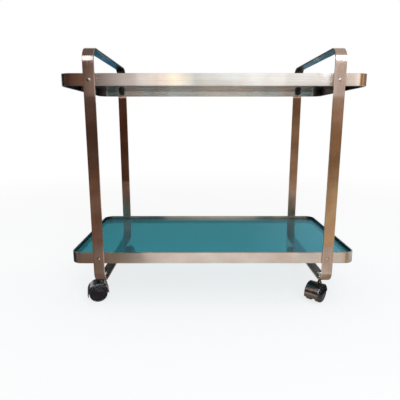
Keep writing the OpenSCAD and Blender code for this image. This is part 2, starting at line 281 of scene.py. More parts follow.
for tier, seed in (("upper", 23.0), ("lower", 31.0)):
    low, high = (np.array(corner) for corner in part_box(tier + "_tray_band"))
    centre = (low + high) / 2

    def band_place(plane, across, direction=False, centre=centre):
        """Path coordinates are (x, y), and across lies along z."""
        shift = np.zeros(3) if direction else centre
        return np.stack([plane[..., 0], plane[..., 1], across], -1) + shift

    # The inner faces of the band's two ends and its inner corners carry painted shade.
    band = closed_bar(
        tier + "_band", (high - low)[:2] / 2, BAND_CORNER_R, 90,
        bar_section(high[2] - low[2], BAND_BAR, BAND_EDGE_R), band_place, BAND_WELD_H, 1
    )
    bronze = brushed_bronze("brushed_bronze_" + tier + "_band", "#e4dcd4", "#c4b2a2", 0.3, seed)
    band.data.materials.append(bronze)
    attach(band, "frame")
    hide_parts(tier + "_tray_band")


# Glass panels
# 4 mm float glass tinted teal through its body, cut to the tray's rounded outline, with the edges
# ground to a small round and polished. Seen flat on it is clear teal, and at a glance it mirrors.
GLASS_CORNER_R = 0.023
GLASS_EDGE_R = 0.0012
WIPE_L, WIPE_W = 0.12, 0.05
WIPE_TURN = math.radians(17)


def closed_mesh(name, points, faces):
    """A mesh with doubled points merged, so that poles and seams close, and its faces turned outward."""
    mesh = bpy.data.meshes.new(name)
    mesh.from_pydata(points.reshape(-1, 3).tolist(), [], faces)
    work = bmesh.new()
    work.from_mesh(mesh)
    bmesh.ops.remove_doubles(work, verts=work.verts, dist=1e-7)
    bmesh.ops.recalc_face_normals(work, faces=work.faces)
    work.to_mesh(mesh)
    work.free()
    mesh.shade_smooth()
    return mesh


def grid_faces(rows, columns, wrap_rows):
    """Quads of a grid of points whose columns close on themselves, and whose rows do where wrap_rows
    says."""
    i, j = np.meshgrid(np.arange(rows if wrap_rows else rows - 1), np.arange(columns), indexing="ij")
    down, right = (i + 1) % rows, (j + 1) % columns
    return np.stack([i * columns + j, down * columns + j, down * columns + right, i * columns + right],
                    -1).reshape(-1, 4).tolist()


def ground_panel(name, low, high, corner_r, edge_r, edge_steps=5):
    """A panel with round corners and ground edges: rings of one outline, each drawn inward by an inset
    and set at a height. Round an edge the inset is r (1 - sin t) and the height is half the thickness
    less r (1 - cos t). Each flat face has two more rings further in, and a pole closes it."""
    half = (high - low)[:2] / 2
    outline, out, run = rounded_path(half, corner_r, -90, 12, 3)
    turn = np.linspace(0, np.pi / 2, edge_steps + 1)
    inset = edge_r * (1 - np.sin(turn))
    height = (high[2] - low[2]) / 2 - edge_r * (1 - np.cos(turn))
    flat = np.array([0.5 * half[1], 0.012])
    inset = np.concatenate([flat + edge_r, inset, inset[::-1], flat[::-1] + edge_r])
    height = np.concatenate([height[:1], height[:1], height, -height[::-1], -height[:1], -height[:1]])
    shrink = np.clip(inset, 0, corner_r * 0.98)
    ring = outline[None] - out[None] * shrink[:, None, None]
    far = (inset - shrink)[:, None, None]
    span = np.maximum(np.abs(ring), 1e-9)
    ring = np.sign(ring) * np.maximum(span - far, 0)
    points = np.concatenate([ring, np.broadcast_to(height[:, None, None], (*ring.shape[:2], 1))], -1)
    points = points + (low + high) / 2
    rings, count = points.shape[:2]
    middle = (low + high)[:2] / 2
    poles = np.array([[*middle, high[2]], [*middle, low[2]]])
    top, last = rings * count, (rings - 1) * count
    faces = grid_faces(rings, count, False)
    faces += [[top, j, (j + 1) % count] for j in range(count)]
    faces += [[top + 1, last + (j + 1) % count, last + j] for j in range(count)]
    mesh = closed_mesh(name, np.concatenate([points.reshape(-1, 3), poles]), faces)
    mesh.set_sharp_from_angle(angle=math.radians(30))
    return shown(name, mesh)


def tinted_glass(name):
    """Teal body-tinted float glass, polished. What the eye gets: deep teal over anything pale, nearly
    black where a low glance goes a long way through it, a clear mirror there, and the faint haze of
    wiping. Lamps pass it as coloured light, so the floor below stays lit."""
    material, tree = new_material(name)
    place = add_node(tree, "ShaderNodeTexCoord").outputs["Object"]
    wiped = add_node(tree, "ShaderNodeTexNoise", {"Scale": 1.0, "Detail": 4.0}, {
        "Vector": add_node(tree, "ShaderNodeMapping", {
            "Scale": (1 / WIPE_L, 1 / WIPE_W, 1), "Rotation": (0, 0, WIPE_TURN)
        }, {"Vector": place}).outputs[0]
    }).outputs["Fac"]
    haze = add_node(tree, "ShaderNodeMapRange", {
        "From Min": 0.35, "From Max": 0.75, "To Min": 0.0, "To Max": 0.05
    }, {"Value": wiped}).outputs[0]
    facing = add_node(tree, "ShaderNodeLayerWeight", {"Blend": 0.5}).outputs["Facing"]
    long_way = add_node(tree, "ShaderNodeMapRange", {
        "From Min": 0.78, "From Max": 0.91
    }, {"Value": facing}).outputs[0]
    tint = add_node(tree, "ShaderNodeMix", {
        "data_type": "RGBA", 6: linear("#3f98a2"), 7: linear("#12191a")
    }, {0: long_way}).outputs[2]
    glass = add_node(tree, "ShaderNodeBsdfPrincipled", {"IOR": 1.52, "Transmission Weight": 0.75},
                     {"Base Color": tint, "Roughness": haze})
    lamp = add_node(tree, "ShaderNodeLightPath").outputs["Is Shadow Ray"]
    passed = add_node(tree, "ShaderNodeBsdfTransparent", {"Color": linear("#8cc9cf")})
    shader = add_node(tree, "ShaderNodeMixShader", None, {
        0: lamp, 1: glass.outputs[0], 2: passed.outputs[0]
    })
    add_node(tree, "ShaderNodeOutputMaterial", links={"Surface": shader.outputs[0]})
    return material


teal =tinted_glass("teal_float_glass")
for tier in ("upper", "lower"):
    low, high = (np.array(corner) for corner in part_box(tier + "_glass"))
    panel = ground_panel(tier + "_glass_panel", low, high, GLASS_CORNER_R, GLASS_EDGE_R)
    panel.data.materials.append(teal)
    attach(panel, "frame")
    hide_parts(tier + "_glass")


# Glass rests
# Moulded black rubber blocks with rounded lower ends, one behind each post in either tray. The tray
# bolt that passes through clamps each to the band, and the glass lies on their tops.
FLOW_SIZE = 0.02
MOULD_EDGE_R = 0.0005


def moulded(name, colour, rough_low, rough_high, grain):
    """Moulded rubber or plastic with a fine grain. What the eye gets: colour and shine that drift a
    little, a shine broken by bumps of the grain's size, and softly rounded mould edges."""
    material, tree = new_material(name)
    place = add_node(tree, "ShaderNodeTexCoord").outputs["Object"]
    cloud = add_node(tree, "ShaderNodeTexNoise", {
        "Scale": 1 / FLOW_SIZE, "Detail": 3.0
    }, {"Vector": place}).outputs["Fac"]
    fine = add_node(tree, "ShaderNodeTexNoise", {
        "Scale": 1 / grain, "Detail": 2.0
    }, {"Vector": place}).outputs["Fac"]
    pale = tuple(min(1.0, 1.8 * c + 0.01) for c in linear(colour)[:3]) + (1.0,)
    share = add_node(tree, "ShaderNodeMapRange", {
        "From Min": 0.4, "From Max": 0.8, "To Min": 0.0, "To Max": 0.6
    }, {"Value": cloud}).outputs[0]
    body = add_node(tree, "ShaderNodeMix", {
        "data_type": "RGBA", 6: linear(colour), 7: pale
    }, {0: share}).outputs[2]
    rough = add_node(tree, "ShaderNodeMapRange", {
        "From Min": 0.3, "From Max": 0.7, "To Min": rough_low, "To Max": rough_high
    }, {"Value": cloud}).outputs[0]
    edge = add_node(tree, "ShaderNodeBevel", {"samples": 4, "Radius": MOULD_EDGE_R}).outputs[0]
    bump = add_node(tree, "ShaderNodeBump", {"Strength": 0.15, "Distance": grain / 4},
                    {"Height": fine, "Normal": edge}).outputs[0]
    shader = add_node(tree, "ShaderNodeBsdfPrincipled", {"IOR": 1.5},
                      {"Base Color": body, "Roughness": rough, "Normal": bump})
    add_node(tree, "ShaderNodeOutputMaterial", links={"Surface": shader.outputs[0]})
    return material


rest_rubber = moulded("moulded_rubber", "#1e1d1d", 0.55, 0.75, 0.0006)
for node in ("upper_glass_rests", "lower_glass_rests"):
    frame["nodes"][node].data.materials.clear()
    frame["nodes"][node].data.materials.append(rest_rubber)


# Bolts, nuts and washers
# Nickel-plated domed M4 bolts go through post, band and rest, and domed cap nuts of the same finish top the
# caster stems. The upper bolts are drawn near black at their inner ends, their nuts are blackened, and the
# lower bolts have toned. The other nuts, stems, washers, axles and rings are plain turned or pressed steel.
TUMBLED_EDGE_R = 0.0004
BLACK_WITHIN = 0.2


def plated(name, colour, dull, rough_low, rough_high, spot, inner_y=0.0):
    """Plated or plain steel. What the eye gets: fine specks, a slow drift towards a duller tone, smoother
    where it is brighter, and the broken edges of a tumbled part. Nearer than inner_y to the middle of the
    cart its colour is near black."""
    material, tree = new_material(name)
    place = add_node(tree, "ShaderNodeTexCoord").outputs["Object"]
    cloud = add_node(tree, "ShaderNodeTexNoise", {
        "Scale": 1 / spot, "Detail": 4.0
    }, {"Vector": place}).outputs["Fac"]
    share = add_node(tree, "ShaderNodeMapRange", {
        "From Min": 0.35, "From Max": 0.75, "To Min": 0.0, "To Max": 0.4
    }, {"Value": cloud}).outputs[0]
    body = add_node(tree, "ShaderNodeMix", {
        "data_type": "RGBA", 6: linear(colour), 7: linear(dull)
    }, {0: share}).outputs[2]
    # Within inner_y of the middle of the cart the colour goes near black.
    if inner_y:
        from_middle = add_node(tree, "ShaderNodeMath", {"operation": "ABSOLUTE"}, {
            0: add_node(tree, "ShaderNodeSeparateXYZ", links={0: place}).outputs["Y"]
        }).outputs[0]
        inner = add_node(tree, "ShaderNodeMath", {
            "operation": "LESS_THAN", 1: inner_y
        }, {0: from_middle}).outputs[0]
        body = add_node(tree, "ShaderNodeMix", {
            "data_type": "RGBA", 7: linear("#2c2826")
        }, {0: inner, 6: body}).outputs[2]
    rough = add_node(tree, "ShaderNodeMapRange", {
        "From Min": 0.3, "From Max": 0.7, "To Min": rough_low, "To Max": rough_high
    }, {"Value": cloud}).outputs[0]
    edge = add_node(tree, "ShaderNodeBevel", {"samples": 4, "Radius": TUMBLED_EDGE_R}).outputs[0]
    shader = add_node(tree, "ShaderNodeBsdfPrincipled", {"Metallic": 1.0},
                      {"Base Color": body, "Roughness": rough, "Normal": edge})
    add_node(tree, "ShaderNodeOutputMaterial", links={"Surface": shader.outputs[0]})
    return material


nickel = plated("nickel_plate", "#e6ddd4", "#a8988c", 0.14, 0.3, 0.004)
bolt_nickel = plated("nickel_plate_on_bolts", "#e6ddd4", "#a8988c", 0.14, 0.3, 0.004, BLACK_WITHIN)
toned_nickel = plated("toned_nickel_plate", "#dccabe", "#a08878", 0.25, 0.4, 0.004)
black_steel = plated("blackened_steel", "#4a4542", "#2c2826", 0.35, 0.5, 0.005)
plain_steel = plated("turned_steel", "#8f8882", "#56504b", 0.25, 0.45, 0.005)
CORNERS = ("front_left", "front_right", "rear_left", "rear_right")
plain_nodes = ["lower_tray_nuts", "caster_washers", "caster_stem_rings"]
for corner in CORNERS:
    plain_nodes += [corner + "_stem", corner + "_axle", corner + "_axle_rings"]
for nodes, material in (
    (["upper_tray_bolts"], bolt_nickel), (["caster_cap_nuts"], nickel),
    (["lower_tray_bolts"], toned_nickel), (["upper_tray_nuts"], black_steel), (plain_nodes, plain_steel)
):
    for node in nodes:
        frame["nodes"][node].data.materials.clear()
        frame["nodes"][node].data.materials.append(material)


# Casters
# Each caster is a zinc casting, plated dark nickel, that hoods two moulded black nylon wheels. A glossy
# domed cap is pressed into each rim. The casting swivels on its stem, and the wheels spin on one pin.
WHEEL_R = 0.025
WHEEL_W = 0.0135
HALF_GAP = 0.0068
PIN_R = 0.003
HUB_R = 0.0065
HUB_L = 0.0085
WEB_INNER = 0.0035
WEB_OUTER = 0.006
RIM_T = 0.004
LEDGE = 0.002
TREAD_ROUND = 0.002
CAP_T = 0.0014
CAP_FLAT_W = 0.004
CAP_STEP = 0.0005
CAP_RISE = 0.0026
PRESS_GAP = 0.0001
HOOD_INNER_R = 0.02775
HOOD_T = 0.0015
HOOD_DROP = 0.00125
HOOD_EASE = 0.0005
HOOD_REACH = math.radians(17)
WEB_T = 0.006
WEB_DROP = 0.006
SPACER_R = 0.008
SPACER_HALF = 0.0063
BOSS_R = 0.006
BOSS_BOTTOM = 0.014
BOSS_SINK = 0.0045
STEM_BORE_R = 0.00408
PIN_BORE_R = 0.00302
PIN_PLAY = 0.00008
POCKET_GAP = 0.001
CUT_L = 0.05
FINE_EASE = 0.0002
LEDGE_EASE = 0.0003
CAST_EASE = 0.0004
EDGE_EASE = 0.0005
FILLET_R = 0.001
TURNS = 96


def eased(rows, steps=4):
    """A closed profile with eased corners. Each row is a corner and its radius r. With u and v along the
    corner's two sides and b halfway between them, the arc has its centre at corner + b r / sin(half
    angle), and runs from the direction u / tan(half) - b / sin(half) to the same with v, at sines of the
    share of the turn."""
    rows = np.array(rows, float)
    corner, radius = rows[:, None, :2], rows[:, None, 2:]
    u = np.roll(corner, 1, 0) - corner
    v = np.roll(corner, -1, 0) - corner
    u /= np.linalg.norm(u, axis=-1, keepdims=True)
    v /= np.linalg.norm(v, axis=-1, keepdims=True)
    b = (u + v) / np.linalg.norm(u + v, axis=-1, keepdims=True)
    half = np.arccos(np.clip((u * v).sum(-1, keepdims=True), -1, 1)) / 2
    turn = np.pi - 2 * half
    share = np.linspace(0, 1, steps + 1)[None, :, None]
    swing = np.sin((1 - share) * turn) * u + np.sin(share * turn) * v
    along_sides = swing / np.sin(turn) / np.tan(half)
    ray = along_sides - b * np.cos((share - 0.5) * turn) / np.cos(turn / 2) / np.sin(half)
    return (corner + b * radius / np.sin(half) + radius * ray).reshape(-1, 2)


def turned(name, profile, centre, axes):
    """A closed profile of radius and height turned round an axis: centre + radius (cos t, sin t) on the
    first two axes + height on the third."""
    t = np.linspace(0, 2 * np.pi, TURNS, endpoint=False)
    radius, height = profile[:, :1], np.broadcast_to(profile[:, 1:], (len(profile), TURNS))
    local = np.stack([radius * np.cos(t), radius * np.sin(t), height], -1)
    return closed_mesh(name, centre + local @ axes, grid_faces(len(profile), TURNS, True))


def hood_shell(name, centre, axes, half_width):
    """The hood: a bar section with eased edges carried round the axle from its trailing lip to its front
    lip. A point is centre + (mid radius + depth) (cos a, sin a) + across. Towards each lip the section
    draws in by ease (1 - cos t) while it runs on by ease sin t, so the lips are eased too."""
    side_x, side_z = half_width - HOOD_EASE, HOOD_T / 2 - HOOD_EASE
    corner = np.array([[1, 1], [-1, 1], [-1, -1], [1, -1]]) * [side_x, side_z]
    t = np.linspace(0, np.pi / 2, 5)
    angle = t[None, :] + np.arange(4)[:, None] * np.pi / 2
    ray = np.stack([np.cos(angle), np.sin(angle)], -1)
    mid_r = HOOD_INNER_R + HOOD_T / 2
    lip = HOOD_EASE * (1 - np.sin(t[::-1])) / mid_r
    middle = np.linspace(-HOOD_REACH + lip[-1], np.pi - lip[-1], 72)[1:-1]
    rise = HOOD_EASE * (1 - np.cos(t))
    draw = np.concatenate([rise[::-1], np.zeros(len(middle)), rise])
    bend = np.concatenate([-HOOD_REACH + lip, middle, np.pi - lip[::-1]])[:, None]
    outline = corner[None, :, None] + (HOOD_EASE - draw)[:, None, None, None] * ray[None]
    across, depth = outline.reshape(len(bend), -1, 2).transpose(2, 0, 1)
    local = np.stack([(mid_r + depth) * np.cos(bend), across, (mid_r + depth) * np.sin(bend)], -1)
    rows, columns = across.shape
    faces = grid_faces(rows, columns, False)
    faces += [list(range(columns)), list(range((rows - 1) * columns, rows * columns))]
    return closed_mesh(name, centre + local @ axes, faces)


def web_plate(name, centre, axes):
    """The web: a disc cut level below the axle. Its outline is an arc of radius R from -asin(drop / R) up
    and over, carried through its thickness, and its rims are eased in three steps."""
    reach = HOOD_INNER_R + HOOD_T / 2
    low = math.asin(WEB_DROP / reach)
    a = np.linspace(-low, np.pi + low, 61)
    outline = reach * np.stack([np.cos(a), np.sin(a)], -1)
    ease = CAST_EASE * np.array([1.0, 0.3, 0.0, 0.0, 0.3, 1.0])
    drawn_in = CAST_EASE * np.array([0, 0.3, 1.0, -1.0, -0.3, 0])
    across = WEB_T / 2 * np.array([-1, -1, -1, 1, 1, 1]) + drawn_in
    ring = outline[None] * (1 - ease[:, None, None] / reach)
    local = np.stack([ring[..., 0], np.broadcast_to(across[:, None], ring.shape[:2]), ring[..., 1]], -1)
    rows, columns = ring.shape[:2]
    faces = grid_faces(rows, columns, False)
    faces += [list(range(columns)), list(range((rows - 1) * columns, rows * columns))]
    return closed_mesh(name, centre + local @ axes, faces)


def cast_in_one(name, solids, cuts):
    """One casting: the first solid joined with the others, and the cuts taken out, by exact booleans."""
    work = shown(name, solids[0])
    tools = []
    for operation, meshes in (("UNION", solids[1:]), ("DIFFERENCE", cuts)):
        for mesh in meshes:
            tool = shown(name + "_tool", mesh)
            step = work.modifiers.new(operation, "BOOLEAN")
            step.operation, step.object, step.solver = operation, tool, "EXACT"
            tools.append(tool)
    made = bpy.data.meshes.new_from_object(work.evaluated_get(bpy.context.evaluated_depsgraph_get()))
    for spent in [work] + tools:
        bpy.data.objects.remove(spent)
    made.shade_smooth()
    made.set_sharp_from_angle(angle=math.radians(32))
    return made


def caster_piece(name, mesh, material, body, node):
    """Makes a mesh one of the caster's pieces, its flat faces shaded flat up to their eased edges."""
    mesh.materials.append(material)
    piece = shown(name, mesh)
    piece.modifiers.new("flat_faces", "WEIGHTED_NORMAL").keep_sharp = True
    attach(piece, body)
    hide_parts(node)


def cylinder_profile(radius, low, high, ease):
    """Profile of a plain turned solid with eased ends."""
    return eased([(0, low, 0), (radius, low, ease), (radius, high, ease), (0, high, 0)])


seat_r = WHEEL_R - RIM_T
bore_r = PIN_R + PIN_PLAY
wheel_profile = eased([
    (bore_r, 0, FINE_EASE), (HUB_R, 0, EDGE_EASE), (HUB_R, WEB_INNER, FILLET_R),
    (seat_r, WEB_INNER, FILLET_R), (seat_r, 0, EDGE_EASE), (WHEEL_R, 0, TREAD_ROUND),
    (WHEEL_R, WHEEL_W, TREAD_ROUND), (seat_r, WHEEL_W, EDGE_EASE), (seat_r, WHEEL_W - LEDGE, FINE_EASE),
    (seat_r - LEDGE, WHEEL_W - LEDGE, LEDGE_EASE), (seat_r - LEDGE, WEB_OUTER, FILLET_R),
    (HUB_R, WEB_OUTER, FILLET_R), (HUB_R, HUB_L, EDGE_EASE), (bore_r, HUB_L, FINE_EASE)
], 6)

# The cap's dome is an arc of a ball, drawn once for its top and once for its underside. The eased
# outline of its rim needs a closed profile, so its first corner and its two corners on the axis are
# dropped again.
cap_r = seat_r - PRESS_GAP
dome_r = cap_r - CAP_FLAT_W
ball = (dome_r ** 2 + CAP_RISE ** 2) / (2 * CAP_RISE)
dome_x = dome_r * (1 - np.linspace(0, 1, 25))
dome = np.sqrt(ball ** 2 - dome_x ** 2) - (ball - CAP_RISE)
top = np.stack([dome_x, CAP_T + CAP_STEP + dome], -1)[1:]
under = np.stack([dome_x, CAP_STEP + dome], -1)[:0:-1]
rim = eased([
    (dome_r - CAP_T, CAP_STEP, FINE_EASE / 2), (dome_r - CAP_T, 0, FINE_EASE), (cap_r, 0, FINE_EASE),
    (cap_r, CAP_T, 2 * FINE_EASE), (dome_r, CAP_T, FINE_EASE), (dome_r, CAP_T + CAP_STEP, FINE_EASE),
    (0, CAP_T + CAP_STEP, 0), (0, CAP_STEP, 0)
])[5:-10]
cap_profile = np.concatenate([rim, top, under[:-2]])

hood_plate = plated("dark_nickel_casting", "#85807e", "#605a58", 0.17, 0.25, 0.02)
wheel_nylon = moulded("moulded_nylon", "#17161a", 0.3, 0.45, 0.0005)
cap_gloss = moulded("gloss_moulding", "#121118", 0.1, 0.2, 0.002)
joints = {joint["name"]: joint for joint in frame["joints"]}
for corner in CORNERS:
    spin = joints[corner + "_wheel_1_spin"]
    axle, along = np.array(spin["pos_m"]), np.array(spin["axis"])
    stem = np.array([*joints[corner + "_swivel_joint"]["pos_m"][:2], axle[2]])
    trail = axle - stem
    trail_length = np.linalg.norm(trail)
    trail /= trail_length
    up = np.array([0.0, 0.0, 1.0])
    axes = np.array([trail, along, up])
    about_pin = np.array([trail, up, along])
    hood_centre = axle - up * HOOD_DROP
    boss_top = HOOD_INNER_R + HOOD_T - HOOD_DROP - BOSS_SINK
    boss = cylinder_profile(BOSS_R, BOSS_BOTTOM - axle[2], boss_top, EDGE_EASE)
    spacer = cylinder_profile(SPACER_R, -SPACER_HALF, SPACER_HALF, CAST_EASE)
    pocket = cylinder_profile(BOSS_R + POCKET_GAP, boss_top, CUT_L, 0)
    stem_bore = cylinder_profile(STEM_BORE_R, -CUT_L, CUT_L, 0)
    pin_bore = cylinder_profile(PIN_BORE_R, -CUT_L, CUT_L, 0)
    casting = cast_in_one(corner + "_casting", [
        hood_shell("hood", hood_centre, axes, HALF_GAP + WHEEL_W), web_plate("web", hood_centre, axes),
        turned("spacer", spacer, axle, about_pin), turned("boss", boss, stem, axes)
    ], [
        turned("pocket", pocket, stem, axes), turned("stem_bore", stem_bore, stem, axes),
        turned("pin_bore", pin_bore, axle, about_pin)
    ])
    caster_piece(corner + "_hood_casting", casting, hood_plate, corner + "_swivel", corner + "_caster_body")
    for number, side in (("1", 1), ("2", -1)):
        outward = np.array([trail, up, along * side])
        face = axle + along * side * HALF_GAP
        seat = face + along * side * (WHEEL_W - LEDGE)
        body = corner + "_wheel_" + number + "_body"
        wheel = turned("wheel", wheel_profile, face, outward)
        caster_piece(corner + "_moulded_wheel_" + number, wheel, wheel_nylon, body,
                     corner + "_wheel_" + number)
        cap = turned("cap", cap_profile, seat, outward)
        caster_piece(corner + "_domed_cap_" + number, cap, cap_gloss, body,
                     corner + "_cap_" + number)


# Studio
# A pale seamless paper floor and a white surround, lit by a tall window-shaped softbox behind the
# camera and one overhead. Toned cards stand round the cart for the brushed bar to mirror, and only
# gloss sees them.
FLOOR_HALF = 15.0
FLOOR_TONE = 0.76
SWEEP_FROM, SWEEP_TO = 0.7, 3.0


def background_rays(tree):
    """1 on the camera's own rays and on those by way of gloss or glass, 0 on the rays that bring light."""
    light = add_node(tree, "ShaderNodeLightPath")
    direct = add_node(tree, "ShaderNodeMath", {"operation": "MAXIMUM"}, {
        0: light.outputs["Is Camera Ray"], 1: light.outputs["Is Glossy Ray"]
    }).outputs[0]
    return add_node(tree, "ShaderNodeMath", {"operation": "MAXIMUM"}, {
        0: direct, 1: light.outputs["Is Transmission Ray"]
    }).outputs[0]


def upright(x0, x1, y, z0, z1):
    """Corners of an upright card square to Y, toned from left to right."""
    return [(x0, y, z0), (x1, y, z0), (x1, y, z1), (x0, y, z1)]


def hanging(x0, x1, y, top, bottom):
    """Corners of an upright card square to Y, toned from its top down."""
    return [(x0, y, top), (x0, y, bottom), (x1, y, bottom), (x1, y, top)]


def side_on(x, y0, y1, z0, z1):
    """Corners of an upright card square to X."""
    return [(x, y0, z0), (x, y1, z0), (x, y1, z1), (x, y0, z1)]


def lying(x0, x1, y0, y1, z):
    """Corners of a level card."""
    return [(x0, y0, z), (x1, y0, z), (x1, y1, z), (x0, y1, z)]


material, tree = new_material("studio_floor")
distance = add_node(tree, "ShaderNodeVectorMath", {"operation": "LENGTH"}, {
    0: add_node(tree, "ShaderNodeTexCoord").outputs["Object"]
}).outputs["Value"]
sweep = add_node(tree, "ShaderNodeMapRange", {
    "interpolation_type": "SMOOTHSTEP",
    "From Min": SWEEP_FROM, "From Max": SWEEP_TO, "To Min": FLOOR_TONE, "To Max": 1.0
}, {"Value": distance}).outputs[0]
lift = add_node(tree, "ShaderNodeMath", {"operation": "MULTIPLY"}, {
    0: background_rays(tree), 1: sweep
}).outputs[0]
paper = add_node(tree, "ShaderNodeBsdfDiffuse", {"Color": (0.86, 0.855, 0.85, 1)})
glow = add_node(tree, "ShaderNodeEmission", {"Color": (1, 1, 1, 1), "Strength": 1.0})
both = add_node(tree, "ShaderNodeMixShader", None, {0: lift, 1: paper.outputs[0], 2: glow.outputs[0]})
add_node(tree, "ShaderNodeOutputMaterial", links={"Surface": both.outputs[0]})
mesh = bpy.data.meshes.new("floor")
mesh.from_pydata(lying(-FLOOR_HALF, FLOOR_HALF, -FLOOR_HALF, FLOOR_HALF, 0), [], [(0, 1, 2, 3)])
mesh.materials.append(material)
shown("floor", mesh)

world = bpy.data.worlds.new("studio")
bpy.context.scene.world = world
world.use_nodes = True
tree = world.node_tree
tree.nodes.clear()
strength = add_node(tree, "ShaderNodeMapRange", {
    "To Min": 0.55, "To Max": 1.0
}, {"Value": background_rays(tree)}).outputs[0]
sky = add_node(tree, "ShaderNodeBackground", {"Color": (1, 1, 1, 1)}, {"Strength": strength})
add_node(tree, "ShaderNodeOutputWorld", links={"Surface": sky.outputs[0]})


def card(name, corners, colour, far_colour=None, level=1.0):
    """A studio card with its corners in order, seen only in gloss. It glows in the colour that a mirror
    would show, drawn evenly from the first corner's side to the second's."""
    mesh = bpy.data.meshes.new(name)
    mesh.from_pydata(corners, [], [(0, 1, 2, 3)])
    near, far = linear(colour), linear(far_colour or colour)
    tone = np.array([near, far, far, near], np.float32)
    mesh.attributes.new("tone", "FLOAT_COLOR", "POINT").data.foreach_set("color", tone.ravel())
    material, tree = new_material(name)
    material.cycles.emission_sampling = "NONE"
    shader = add_node(tree, "ShaderNodeEmission", {"Strength": level}, {
        "Color": add_node(tree, "ShaderNodeAttribute", {"attribute_name": "tone"}).outputs["Color"]
    })
    add_node(tree, "ShaderNodeOutputMaterial", links={"Surface": shader.outputs[0]})
    mesh.materials.append(material)
    sheet = shown(name, mesh)
    sheet.visible_camera = sheet.visible_diffuse = sheet.visible_transmission = False
    sheet.visible_shadow = sheet.visible_volume_scatter = False


# The room: a wall behind the camera with a window in its upper part, side walls and a ceiling. The
# window gives the white highlights in the handles' bends.
WALL_Y, SIDE_X, BACK_Y = -2.2, 3.2, 2.4
SILL_Z, CORNICE_Z, CEILING_Z = 0.93, 2.9, 2.95
card("brown_wall_low_left", upright(-3.4, -0.3, WALL_Y, 0.0, SILL_Z), "#6e5b56")
card("pale_wall_low_middle", upright(-0.3, 0.55, WALL_Y, 0.0, SILL_Z), "#d8d4d0")
card("tan_wall_low_right", upright(0.55, 3.4, WALL_Y, 0.0, SILL_Z), "#b59b82")
card("grey_wall_high_left", upright(-3.4, -1.8, WALL_Y, SILL_Z, CORNICE_Z), "#d8d4d6", level=1.4)
card("window_glow", upright(-1.8, 1.8, WALL_Y, SILL_Z, CORNICE_Z), "#cfeaff", level=15.0)
card("brown_wall_high_right", upright(1.8, 3.4, WALL_Y, SILL_Z, CORNICE_Z), "#4a3a2e")
card("dark_card_left", side_on(-SIDE_X, WALL_Y, BACK_Y, 0, 2.6), "#1f1c1a")
card("brown_card_right", side_on(SIDE_X, WALL_Y, BACK_Y, 0, 2.6), "#5c4232")
card("brown_side_right", side_on(1.3, -0.28, 1.7, 0.45, 0.8), "#a8784e")
card("grey_ceiling_left", lying(-2.6, 0.0, WALL_Y, BACK_Y, CEILING_Z), "#868688")
card("pale_ceiling_right", lying(0.0, 2.6, WALL_Y, BACK_Y, CEILING_Z), "#dcd4cc")

# Rugs and mats on the floor, for the feet of the loops, the lower band and the caster hoods.
RUG_Z, MAT_Z = 0.002, 0.003
MAT_FRONT_Y, RUG_FRONT_Y = -0.28, -0.34
card("brown_rug_left", lying(-3.0, -0.34, WALL_Y, MAT_FRONT_Y, RUG_Z), "#7f6d5d")
card("grey_rug_left", lying(-0.34, -0.2, WALL_Y, MAT_FRONT_Y, RUG_Z), "#7f6d5d", "#e8e4e0")
card("dark_rug_left", lying(-3.0, -0.42, MAT_FRONT_Y, 1.2, RUG_Z), "#2e2a27")
card("golden_rug_right", [
    (0.41, RUG_FRONT_Y, RUG_Z), (1.16, WALL_Y, RUG_Z), (3.2, WALL_Y, RUG_Z), (0.8, RUG_FRONT_Y, RUG_Z)
], "#b89c74")
card("slate_mat_left", lying(-0.6, -0.36, MAT_FRONT_Y, 0.1, MAT_Z), "#4c5866")
card("brown_mat_left", lying(-0.36, -0.2, MAT_FRONT_Y, 0.1, MAT_Z), "#978884")
card("tan_mat_front_right", [
    (0.2, RUG_FRONT_Y, MAT_Z), (0.2, -0.2, MAT_Z), (0.352, -0.2, MAT_Z), (0.352, RUG_FRONT_Y, MAT_Z)
], "#f4e8de", "#ada080")
card("tan_mat_right", lying(0.2, 0.352, -0.2, 0.1, MAT_Z), "#ada095")
card("dark_mat_right", lying(0.352, 0.7, MAT_FRONT_Y, 0.2, MAT_Z), "#2a2624")

